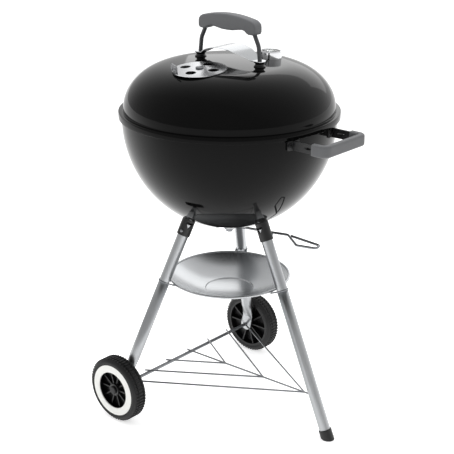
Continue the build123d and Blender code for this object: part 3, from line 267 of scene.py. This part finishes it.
def lathe(points: list[tuple[float, float]], steps: int, place: Matrix) -> bmesh.types.BMesh:
    """Spin a closed outline round its upright axis.

    Args:
        points: Radius and height pairs in millimetres, in order round the outline.
        steps: Parts of a full turn.
        place: Where the upright axis goes.

    Returns:
        The spun mesh, with its faces outwards.
    """
    work = bmesh.new()
    ring = [work.verts.new((radius * MM, 0, height * MM)) for radius, height in points]
    edges = [work.edges.new((ring[i], ring[(i + 1) % len(ring)])) for i in range(len(ring))]
    bmesh.ops.spin(work, geom=ring + edges, cent=(0, 0, 0), axis=(0, 0, 1), angle=math.tau, steps=steps,
                   use_merge=True, use_duplicate=False)
    bmesh.ops.remove_doubles(work, verts=work.verts, dist=0.000005)
    bmesh.ops.recalc_face_normals(work, faces=work.faces)
    bmesh.ops.transform(work, matrix=place, verts=work.verts)
    return work


def arc_points(half_x: float, half_y: float, centre: tuple[float, float], start: float, end: float,
               count: int) -> list[tuple[float, float]]:
    """Points along part of an ellipse, in millimetres, from one angle to another in degrees."""
    turns = [math.radians(start + (end - start) * i / count) for i in range(count + 1)]
    return [(centre[0] + half_x * math.cos(t), centre[1] + half_y * math.sin(t)) for t in turns]


@dataclass
class KettleShells:
    """Enamelled lid and bowl."""

    builder: Builder
    sheet: float = 1.6
    bowl_r: float = 233.5
    bowl_depth: float = 246.0
    wide_z: float = 687.0
    lip_z: float = 702.0
    lip_r: float = 237.6
    rim_r: float = 240.0
    lid_r: float = 229.5
    lid_base_z: float = 707.0
    flange_z: float = 702.4
    skirt_z: float = 690.0
    knuckle: tuple[float, float] = (119.5, 97.5)
    crown_angle: float = 86.0
    crown_rise: float = 3.2
    damper_at: tuple[float, float] = (-0.0312, -0.10086)
    vent_at: float = 0.034
    vent_r: float = 0.0105

    def place(self) -> Matrix:
        """Return where the kettle's axis stands."""
        return Matrix.Translation((KETTLE_X, 0, 0))

    def cut(self, piece: bpy.types.Object, cutter: bmesh.types.BMesh) -> None:
        """Cut openings into a shell with a closed cutter, then drop the cutter."""
        mesh = bpy.data.meshes.new("opening_cutter")
        cutter.to_mesh(mesh)
        cutter.free()
        tool = bpy.data.objects.new("opening_cutter", mesh)
        bpy.context.collection.objects.link(tool)
        step = piece.modifiers.new("openings", "BOOLEAN")
        step.operation = "DIFFERENCE"
        step.solver = "EXACT"
        step.object = tool
        bpy.context.view_layer.update()
        cut = bpy.data.meshes.new_from_object(piece.evaluated_get(bpy.context.evaluated_depsgraph_get()))
        piece.modifiers.clear()
        piece.data = cut
        cut.set_sharp_from_angle(angle=math.radians(30))
        bpy.data.objects.remove(tool)

    def bowl(self) -> None:
        """Build the bowl with its turned lip and its three vents."""
        outer = arc_points(self.bowl_r, self.bowl_depth, (0, self.wide_z), -88.03, 0, 56)
        inner = arc_points(self.bowl_r - self.sheet, self.bowl_depth - self.sheet, (0, self.wide_z),
                           0, -88.0, 48)
        top = self.lip_z
        lip = [(self.bowl_r, top - self.sheet - 1.2), (self.bowl_r + 0.6, top - self.sheet),
               (self.lip_r - self.sheet, top - self.sheet), (self.lip_r - self.sheet, top - 5),
               (self.lip_r, top - 5), (self.lip_r, top - 0.6), (self.lip_r - 0.6, top),
               (self.bowl_r - self.sheet + 0.8, top), (self.bowl_r - self.sheet, top - 0.8)]
        work = lathe(outer + lip + inner, 160, self.place())
        piece = self.builder.finish("bowl_enamelled", work, ENAMEL, "stand", "enamel", ("bowl_shell",), 30)
        cutter = bmesh.new()
        for turn in (60, 180, 300):
            made = bmesh.ops.create_circle(cutter, cap_ends=True, segments=40, radius=12 * MM)
            for vert in made["verts"]:
                vert.co.x += 16 * MM if vert.co.x > 0 else -16 * MM
            face = next(f for f in cutter.faces if made["verts"][0] in f.verts)
            raised = bmesh.ops.extrude_face_region(cutter, geom=[face])
            new = [v for v in raised["geom"] if isinstance(v, bmesh.types.BMVert)]
            bmesh.ops.translate(cutter, verts=new, vec=(0, 0, 60 * MM))
            out = Matrix.Translation((0.08, 0, 0.43))
            where = self.place() @ Matrix.Rotation(math.radians(turn), 4, "Z") @ out
            bmesh.ops.transform(cutter, matrix=where, verts=made["verts"] + new)
        bmesh.ops.recalc_face_normals(cutter, faces=cutter.faces)
        self.cut(piece, cutter)

    def lid_side(self, inset: float) -> list[tuple[float, float]]:
        """Return the lid's shoulder and crown from its side to its middle."""
        centre = (self.lid_r - self.knuckle[0], self.lid_base_z)
        side = arc_points(self.knuckle[0] - inset, self.knuckle[1] - inset, centre, 0, self.crown_angle, 44)
        edge_r, edge_z = side[-1]
        crown = [(edge_r * (1 - i / 14), edge_z + self.crown_rise * (1 - (1 - i / 14) ** 2))
                 for i in range(1, 14)]
        return side + crown + [(0.01, edge_z + self.crown_rise)]

    def lid(self) -> None:
        """Build the lid with its flange, its skirt and the vents under the damper."""
        low = [(self.rim_r - self.sheet, self.flange_z), (self.rim_r - self.sheet, self.skirt_z + 0.4),
               (self.rim_r - self.sheet + 0.4, self.skirt_z), (self.rim_r - 0.4, self.skirt_z),
               (self.rim_r, self.skirt_z + 0.4), (self.rim_r, self.flange_z + 0.3),
               (self.rim_r - 0.5, self.flange_z + 1.2), (self.rim_r - 1.6, self.flange_z + self.sheet),
               (self.lid_r + 1.2, self.flange_z + self.sheet), (self.lid_r + 0.3, self.flange_z + 2.3)]
        inner = list(reversed(self.lid_side(self.sheet)))
        close = [(self.lid_r - self.sheet, self.flange_z)]
        work = lathe(low + self.lid_side(0) + inner + close, 200, self.place())
        piece = self.builder.finish("lid_enamelled", work, ENAMEL, "lid", "enamel", ("lid_shell",), 40)
        damper_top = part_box("damper_disc")[1][2]
        cutter = bmesh.new()
        for turn in (8, 98, 188, 278):
            spin = math.radians(turn - 87)
            at = Vector((self.damper_at[0] + self.vent_at * math.cos(spin),
                         self.damper_at[1] + self.vent_at * math.sin(spin), damper_top - 0.012))
            bmesh.ops.create_cone(cutter, cap_ends=True, segments=36, radius1=self.vent_r,
                                  radius2=self.vent_r, depth=0.05, matrix=Matrix.Translation(at))
        self.cut(piece, cutter)

    def build(self) -> None:
        """Build both shells."""
        self.bowl()
        self.lid()


@dataclass
class LidHandle:
    """Grip, rod, heat shield and feet of the lid's handle."""

    builder: Builder
    half: float = 79.0
    depth: float = 12.5

    def outline(self) -> list[tuple[float, float]]:
        """Return the grip's side outline in millimetres from the kettle's axis."""
        top = [(x, 899 + 9 * (1 - (x / 72) ** 2)) for x in range(-68, 69, 8)]
        right = [(74, 896.5), (78, 892), (79, 886), (79, 877), (77, 872.5), (73, 871), (60, 871), (55, 873),
                 (49, 877.5), (42, 879), (30, 877.5), (15, 875)]
        left = [(-x, z) for x, z in reversed(right)]
        return top + right + [(0, 874.5)] + left

    def grip(self) -> None:
        """Build the moulded grip with an inset panel on each side and rounded edges."""
        work = bmesh.new()
        ring = [work.verts.new((KETTLE_X + x * MM, -self.depth * MM, z * MM)) for x, z in self.outline()]
        face = work.faces.new(ring)
        raised = bmesh.ops.extrude_face_region(work, geom=[face])
        new = [v for v in raised["geom"] if isinstance(v, bmesh.types.BMVert)]
        bmesh.ops.translate(work, verts=new, vec=(0, 2 * self.depth * MM, 0))
        bmesh.ops.recalc_face_normals(work, faces=work.faces)
        sides = [f for f in work.faces if abs(f.normal.y) > 0.9]
        for side in sides:
            bmesh.ops.inset_region(work, faces=[side], thickness=5.5 * MM, depth=0.0, use_even_offset=True)
            bmesh.ops.bevel(work, geom=list(side.edges), offset=0.5 * MM, offset_type="OFFSET", segments=2,
                            profile=0.5, affect="EDGES", material=-1)
        edges = [e for e in work.edges if e.calc_face_angle(0) > math.radians(60)]
        bmesh.ops.bevel(work, geom=edges, offset=3.6 * MM, offset_type="OFFSET", segments=5, profile=0.5,
                        affect="EDGES", material=-1)
        self.builder.finish("lid_grip_moulded", work, NYLON_GRIP, "lid", "grip_plastic",
                            ("lid_handle_grip",), 45)

    def build(self) -> None:
        """Build the whole handle."""
        self.grip()
        self.builder.soften("lid_handle_rod", COATED_ROD, "lid", "zinc_plate")
        self.builder.soften("lid_heat_shield", SHIELD_STEEL, "lid", "polished_steel")
        for word in ("left", "right"):
            self.builder.soften(f"lid_handle_spacer_{word}", STOVE_PAINT, "lid", "black_coat", 0.0, 50)


class WheelSide(Enum):
    """Which wheel it is, and which way its outer face looks along Y."""

    LEFT = -1
    RIGHT = 1


@dataclass
class Wheel:
    """Treaded tyre, ribbed hub and white ring of one wheel."""

    builder: Builder
    side: WheelSide
    tread_blocks: int = 60
    outer_r: float = 75.0
    inner_r: float = 60.0
    width: float = 38.0

    @property
    def word(self) -> str:
        """Return the side's name as the nodes spell it."""
        return self.side.name.lower()

    def place(self) -> Matrix:
        """Return the wheel's own axis: local z points away from the middle of the grill."""
        low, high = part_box(f"{self.word}_tyre")
        middle = Vector([(a + b) / 2 for a, b in zip(low, high)])
        return Matrix.Translation(middle) @ Matrix.Rotation(math.radians(-90 * self.side.value), 4, "X")

    def tyre(self) -> None:
        """Build the tyre: rounded shoulders, grooves round it and blocks across it."""
        half, base = self.width / 2, self.outer_r - 2.5
        edge = half - 0.8
        crown = [(base - 4.6, -half + 0.6), (base - 1.4, -half + 3.0), (base, -half + 6.0), (base, -9.0),
                 (base - 1.4, -8.2), (base - 1.4, -6.8), (base, -6.0), (base, 6.0), (base - 1.4, 6.8),
                 (base - 1.4, 8.2), (base, 9.0), (base, half - 6.0), (base - 1.4, half - 3.0),
                 (base - 4.6, half - 0.6)]
        side = [(base - 7, half), (self.inner_r + 4.5, half), (self.inner_r + 3.5, edge),
                (self.inner_r, edge), (self.inner_r, -edge), (self.inner_r + 3.5, -edge),
                (self.inner_r + 4.5, -half), (base - 7, -half)]
        steps = self.tread_blocks * 2
        work = lathe(crown + side, steps, Matrix.Identity(4))
        picked = []
        for face in work.faces:
            if any((v.co.x ** 2 + v.co.y ** 2) ** 0.5 <= (base - 0.2) * MM for v in face.verts):
                continue
            middle = face.calc_center_median()
            turn = (math.atan2(middle.y, middle.x) % math.tau) / math.tau
            if round(turn * steps - 0.5) % 2 == 0:
                picked.append(face)
        raised = bmesh.ops.extrude_discrete_faces(work, faces=picked)
        for face in raised["faces"]:
            outward = Vector((face.calc_center_median().x, face.calc_center_median().y, 0)).normalized()
            bmesh.ops.translate(work, verts=face.verts, vec=outward * 2.4 * MM)
        bmesh.ops.transform(work, matrix=self.place(), verts=work.verts)
        self.builder.finish(f"{self.word}_tyre_treaded", work, TYRE_BLACK, f"{self.word}_wheel",
                            "tyre_black", (f"{self.word}_tyre",), 30)

    def build(self) -> None:
        """Build one wheel."""
        self.tyre()
        body = f"{self.word}_wheel"
        self.builder.soften(f"{self.word}_wheel_hub", NYLON_BLACK, body, "black_plastic", 0.5)
        self.builder.soften(f"{self.word}_whitewall_ring", RING_WHITE, body, "white_ring", 0.4)


@dataclass
class AshPan:
    """Spun ash pan: flat disc in the middle, dished wall and rolled rim."""

    builder: Builder
    sheet: float = 1.2
    disc_r: float = 55.0
    disc_z: float = 282.8
    step: float = 2.6
    bead_r: float = 2.6
    bead_at: tuple[float, float] = (135.9, 316.4)

    def wall(self, rise: float) -> list[tuple[float, float]]:
        """Return the dished wall from the disc's edge to the rim, raised by a sheet or not at all."""
        points = []
        for i in range(24):
            part = i / 23 * 0.97
            points.append((self.disc_r + part * (self.bead_at[0] - self.disc_r),
                           self.disc_z + 13.64 * part + 19.36 * part * part + rise))
        return points

    def build(self) -> None:
        """Build the pan."""
        low = self.disc_z - self.step
        disc = [(0.01, low), (self.disc_r - 2.2, low), (self.disc_r - 1.2, low + 0.4)]
        rim = arc_points(self.bead_r, self.bead_r, self.bead_at, -135, 180, 16)
        top = self.sheet
        inside = [(self.disc_r - 1.4, low + 0.4 + top), (self.disc_r - 2.4, low + top), (0.01, low + top)]
        outline = disc + self.wall(0.0) + rim + list(reversed(self.wall(top))) + inside
        work = lathe(outline, 180, Matrix.Translation((KETTLE_X, 0, 0)))
        self.builder.finish("ash_pan_spun", work, SPUN_SHEET, "stand", "aluminium_sheet", ("ash_pan",), 28)


@dataclass
class Fittings:
    """Everything carried over from the frame: softened copies with their own finishes."""

    builder: Builder
    plan: dict[str, tuple[Finish, str, str, float]]

    def build(self) -> None:
        """Dress each fitting."""
        alike = {
            "pan_loop_{}": (PLATED_WIRE, "zinc_plate", 0.0),
            "leg_socket_{}": (STOVE_PAINT, "black_coat", 0.5),
            "leg_upper_{}": (ALLOY_TUBE, "aluminium_tube", 0.0),
            "leg_lower_{}": (ALLOY_TUBE, "aluminium_tube", 0.0),
        }
        for pattern, (look, slot, bevel) in alike.items():
            for word in ("front", "left", "right"):
                self.builder.soften(pattern.format(word), look, "stand", slot, bevel)
        for word in ("front", "left", "right"):
            self.builder.soften(f"snap_button_{word}", PLATED_WIRE, f"button_{word}", "zinc_plate")
        for node, (look, body, slot, bevel) in self.plan.items():
            self.builder.soften(node, look, body, slot, bevel)


FITTINGS = {
    "axle": (PLATED_WIRE, "stand", "zinc_plate", 0.0),
    "axle_washers": (PLATED_WIRE, "stand", "zinc_plate", 0.0),
    "axle_cap_left": (BLACK_STEEL, "stand", "zinc_plate", 0.0),
    "axle_cap_right": (BLACK_STEEL, "stand", "zinc_plate", 0.0),
    "bottom_rack": (PLATED_WIRE, "stand", "zinc_plate", 0.0),
    "bowl_handle_bracket_left": (STOVE_PAINT, "stand", "black_coat", 0.5),
    "bowl_handle_bracket_right": (STOVE_PAINT, "stand", "black_coat", 0.5),
    "bowl_handle_grip": (NYLON_GRIP, "stand", "grip_plastic", 0.0),
    "bowl_handle_screws": (BLACK_STEEL, "stand", "zinc_plate", 0.0),
    "cooking_grate": (NICKEL_ROD, "cooking_grate_body", "zinc_plate", 0.0),
    "charcoal_grate": (NICKEL_ROD, "charcoal_grate_body", "zinc_plate", 0.0),
    "cooking_grate_tabs": (ENAMEL, "stand", "zinc_plate", 0.0),
    "charcoal_grate_tabs": (ENAMEL, "stand", "zinc_plate", 0.0),
    "front_foot_cap": (NYLON_BLACK, "stand", "black_plastic", 0.8),
    "sweep_bushing": (PLATED_WIRE, "stand", "zinc_plate", 0.0),
    "sweep_shaft": (PLATED_WIRE, "ash_sweep", "zinc_plate", 0.0),
    "sweep_nut": (PLATED_WIRE, "ash_sweep", "zinc_plate", 0.0),
    "sweep_blades": (SPUN_SHEET, "ash_sweep", "aluminium_sheet", 0.0),
    "ash_lever": (PLATED_WIRE, "ash_sweep", "zinc_plate", 0.0),
    "lid_handle_nuts": (PLATED_WIRE, "lid", "zinc_plate", 0.0),
    "lid_hook": (PLATED_WIRE, "lid", "zinc_plate", 0.0),
    "damper_disc": (BRIGHT_SHEET, "lid_damper", "aluminium_sheet", 0.0),
    "damper_tab": (TAB_GREY, "lid_damper", "tab_plastic", 0.4),
    "damper_tab_rivets": (PLATED_WIRE, "lid_damper", "zinc_plate", 0.0),
    "damper_pivot": (PLATED_WIRE, "lid", "zinc_plate", 0.0),
    "thermometer_bezel": (CHROME, "lid", "chrome_rim", 0.0),
    "thermometer_dial": (DIAL, "lid", "dial_face", 0.0),
    "thermometer_needle": (NEEDLE, "gauge_needle", "needle_red", 0.0),
    "thermometer_lens": (LENS, "lid", "lens_glass", 0.0),
    "thermometer_stem": (PLATED_WIRE, "lid", "zinc_plate", 0.0),
    "thermometer_nut": (PLATED_WIRE, "lid", "zinc_plate", 0.0),
}


@dataclass
class Studio:
    """Pale floor, soft light and the camera."""

    eye: tuple[float, float, float] = (1.5216, -1.7945, 1.3098)
    ahead: tuple[float, float, float] = (-0.6163, 0.7065, -0.3472)
    lens_mm: float = 89.51
    floor_glow: float = 0.58

    def floor(self) -> None:
        """Lay a wide pale floor under the grill."""
        work = bmesh.new()
        bmesh.ops.create_grid(work, x_segments=8, y_segments=8, size=30)
        bmesh.ops.translate(work, verts=work.verts, vec=(0, 0, -0.0005))
        mesh = bpy.data.meshes.new("studio_floor")
        work.to_mesh(mesh)
        work.free()
        pale = PLAIN_FLOOR.material()
        shader = next(n for n in pale.node_tree.nodes if n.type == "BSDF_PRINCIPLED")
        shader.inputs["Emission Color"].default_value = (1, 1, 1, 1)
        shader.inputs["Emission Strength"].default_value = self.floor_glow
        mesh.materials.append(pale)
        floor = bpy.data.objects.new("studio_floor", mesh)
        bpy.context.collection.objects.link(floor)

    def softbox(self, name: str, at: tuple[float, float, float], to: tuple[float, float, float],
                size: tuple[float, float], power: float, mirrored: bool = False) -> None:
        """Hang one soft rectangular light.

        Args:
            name: Light name.
            at: Its place in metres.
            to: What it faces.
            size: Width and height in metres.
            power: Watts.
            mirrored: Whether glossy surfaces show it.
        """
        data = bpy.data.lights.new(name, "AREA")
        data.shape = "RECTANGLE"
        data.size, data.size_y = size
        data.energy = power
        lamp = bpy.data.objects.new(name, data)
        bpy.context.collection.objects.link(lamp)
        lamp.location = at
        lamp.rotation_euler = (Vector(to) - Vector(at)).to_track_quat("-Z", "Y").to_euler()
        lamp.visible_camera = False
        lamp.visible_glossy = mirrored

    def sky(self) -> None:
        """Light the room evenly, brighter behind the grill than in front of it."""
        world = bpy.data.worlds.new("studio_room")
        bpy.context.scene.world = world
        world.use_nodes = True
        tree = world.node_tree
        tree.nodes.clear()
        way = add(tree, "ShaderNodeTexCoord").outputs["Generated"]
        facing = add(tree, "ShaderNodeVectorMath", {"operation": "DOT_PRODUCT", 1: (0.05, 0.96, 0.27)},
                     {0: way})
        span = {"From Min": -0.1, "From Max": 0.95, "To Min": 0.5, "To Max": 0.95}
        level = add(tree, "ShaderNodeMapRange", span, {"Value": facing.outputs["Value"]})
        glow = add(tree, "ShaderNodeBackground", {"Color": (1, 1, 1, 1)}, {"Strength": level.outputs[0]})
        add(tree, "ShaderNodeOutputWorld", links={"Surface": glow.outputs[0]})

    def camera(self) -> None:
        """Set the camera up, level and looking down at the grill."""
        data = bpy.data.cameras.new("studio_camera")
        data.lens = self.lens_mm
        data.sensor_width = 36
        data.clip_end = 100
        eye = bpy.data.objects.new("studio_camera", data)
        bpy.context.collection.objects.link(eye)
        eye.location = self.eye
        eye.rotation_euler = Vector(self.ahead).to_track_quat("-Z", "Y").to_euler()
        bpy.context.scene.camera = eye
        bpy.context.scene.view_settings.view_transform = "Standard"

    def build(self) -> None:
        """Build the studio."""
        self.floor()
        self.sky()
        self.softbox("top_softbox", (-0.2, 0.2, 2.6), (0, 0, 0.6), (1.6, 1.6), 34)
        self.softbox("back_softbox", (-1.0, 2.4, 1.7), (0, 0, 0.8), (2.4, 1.1), 6, True)
        self.softbox("left_softbox", (-2.0, -1.6, 1.5), (0, 0, 0.5), (1.0, 1.6), 16)
        self.camera()


def main() -> None:
    """Build every sub-assembly in order."""
    builder = Builder()
    assemblies = [KettleShells(builder), LidHandle(builder), Wheel(builder, WheelSide.LEFT),
                  Wheel(builder, WheelSide.RIGHT), AshPan(builder), Fittings(builder, FITTINGS), Studio()]
    for part in assemblies:
        part.build()
        log.info("built %s", type(part).__name__)


if __name__ == "__main__":
    main()
